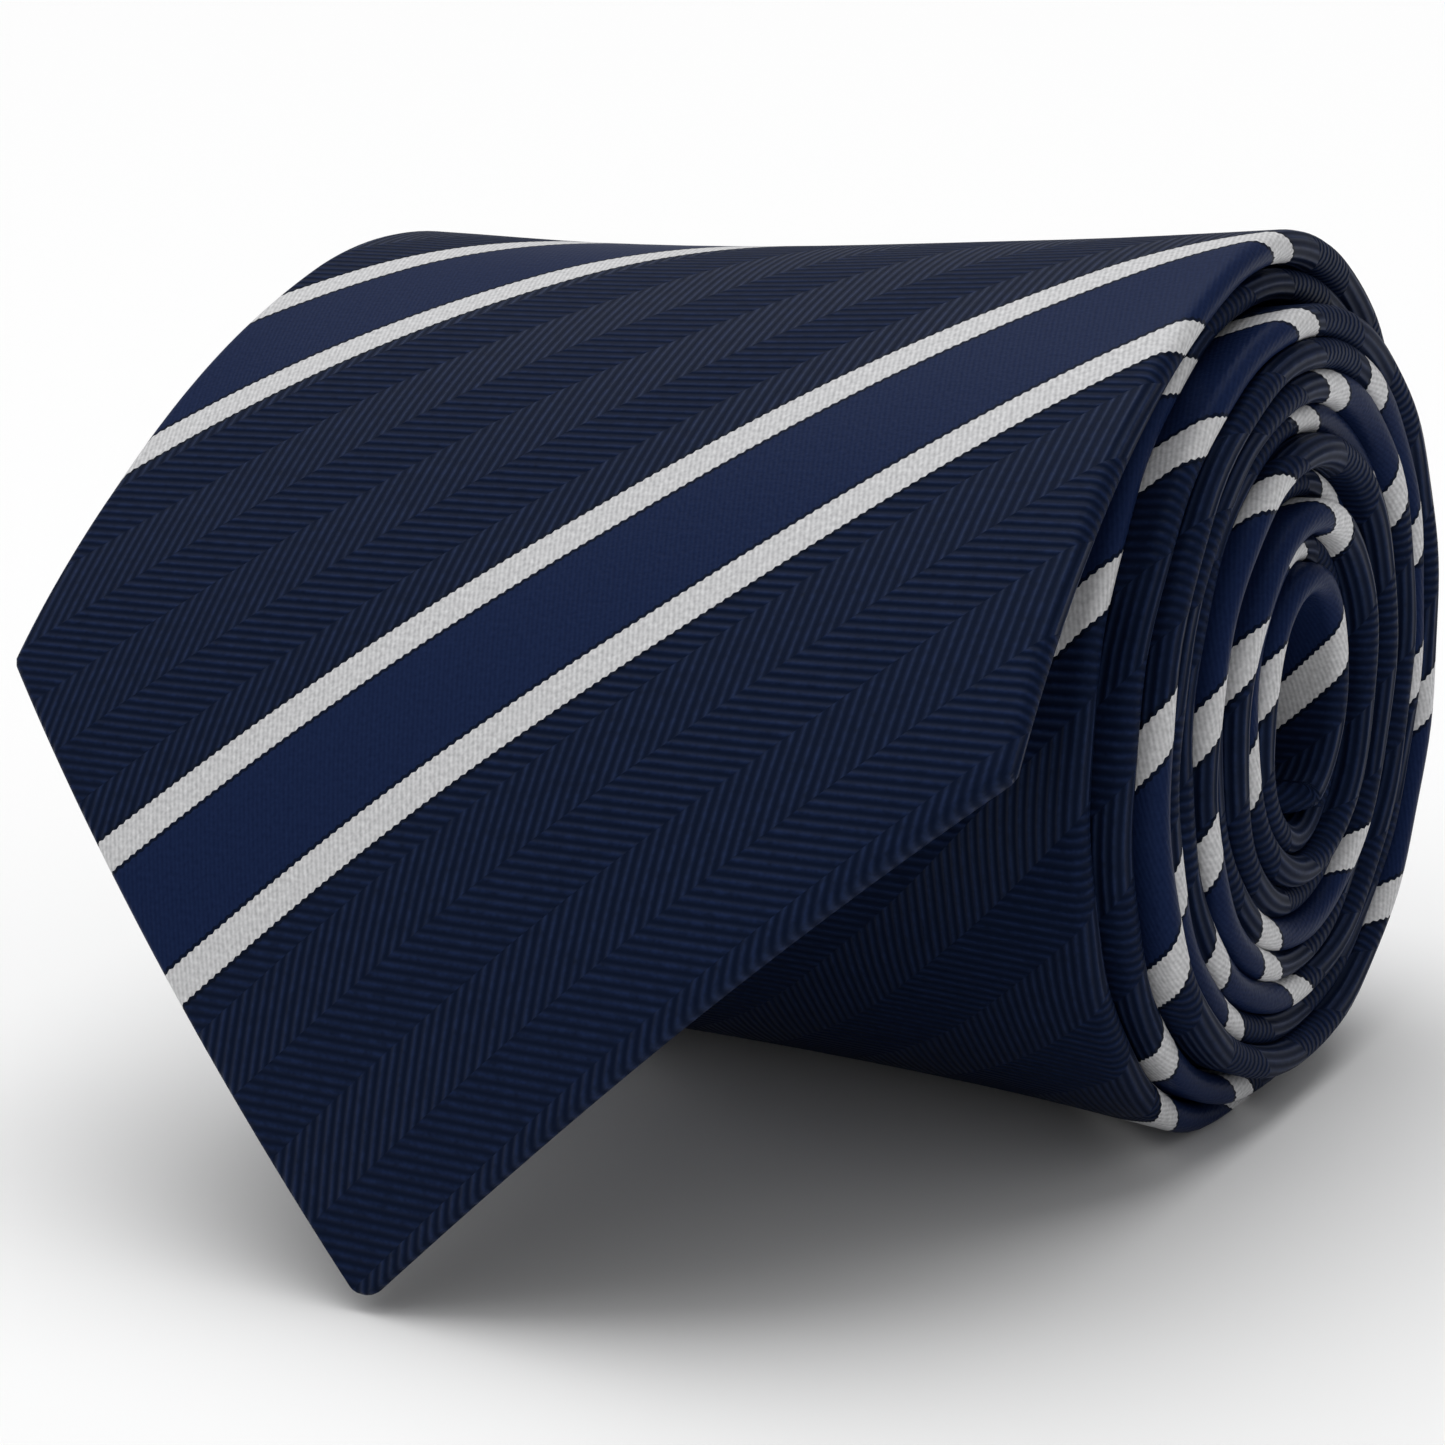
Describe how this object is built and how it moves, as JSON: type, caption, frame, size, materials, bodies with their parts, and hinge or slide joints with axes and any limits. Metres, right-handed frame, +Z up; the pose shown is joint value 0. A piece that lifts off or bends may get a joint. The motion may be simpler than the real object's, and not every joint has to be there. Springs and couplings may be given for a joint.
{
  "type": "necktie",
  "caption": "Striped silk necktie rolled up from its tail, with the pointed end of the blade hanging free in front of the roll.",
  "frame": {"origin": "middle of the footprint, on the surface that the roll and the tip of the blade rest on", "axes": "+X along the roll's axis towards the end where the turns' edges are flush, -Y towards the free end of the blade, +Z up"},
  "size_m": [0.085, 0.1, 0.0665],
  "materials": {
    "silk": "woven silk, satin and herringbone, with silver stripes",
    "interlining": "matt brushed wool",
    "lining": "smooth satin",
    "thread": "twisted thread",
    "label": "blank woven satin"
  },
  "bodies": {
    "roll": {"blade_silk": "silk", "neck_silk": "silk", "tail_silk": "silk", "interlining": "interlining", "tail_tipping": "lining", "slip_stitch": "thread", "blade_tack": "thread", "tail_tack": "thread", "keeper_loop": "silk", "keeper_stitches": "thread", "label": "label", "label_stitches": "thread", "care_tag": "label", "neck_seam": "thread", "tail_seam": "thread"},
    "free_end": {"blade_end_silk": "silk", "blade_end_interlining": "interlining", "blade_tipping": "lining", "tipping_seam": "thread"}
  },
  "joints": [
    {"name": "blade_lift", "type": "hinge", "parent": "roll", "child": "free_end", "pos_m": [0, -0.00515, 0.0607], "axis": [-1, 0, 0], "range_deg": [0, 100]}
  ]
}
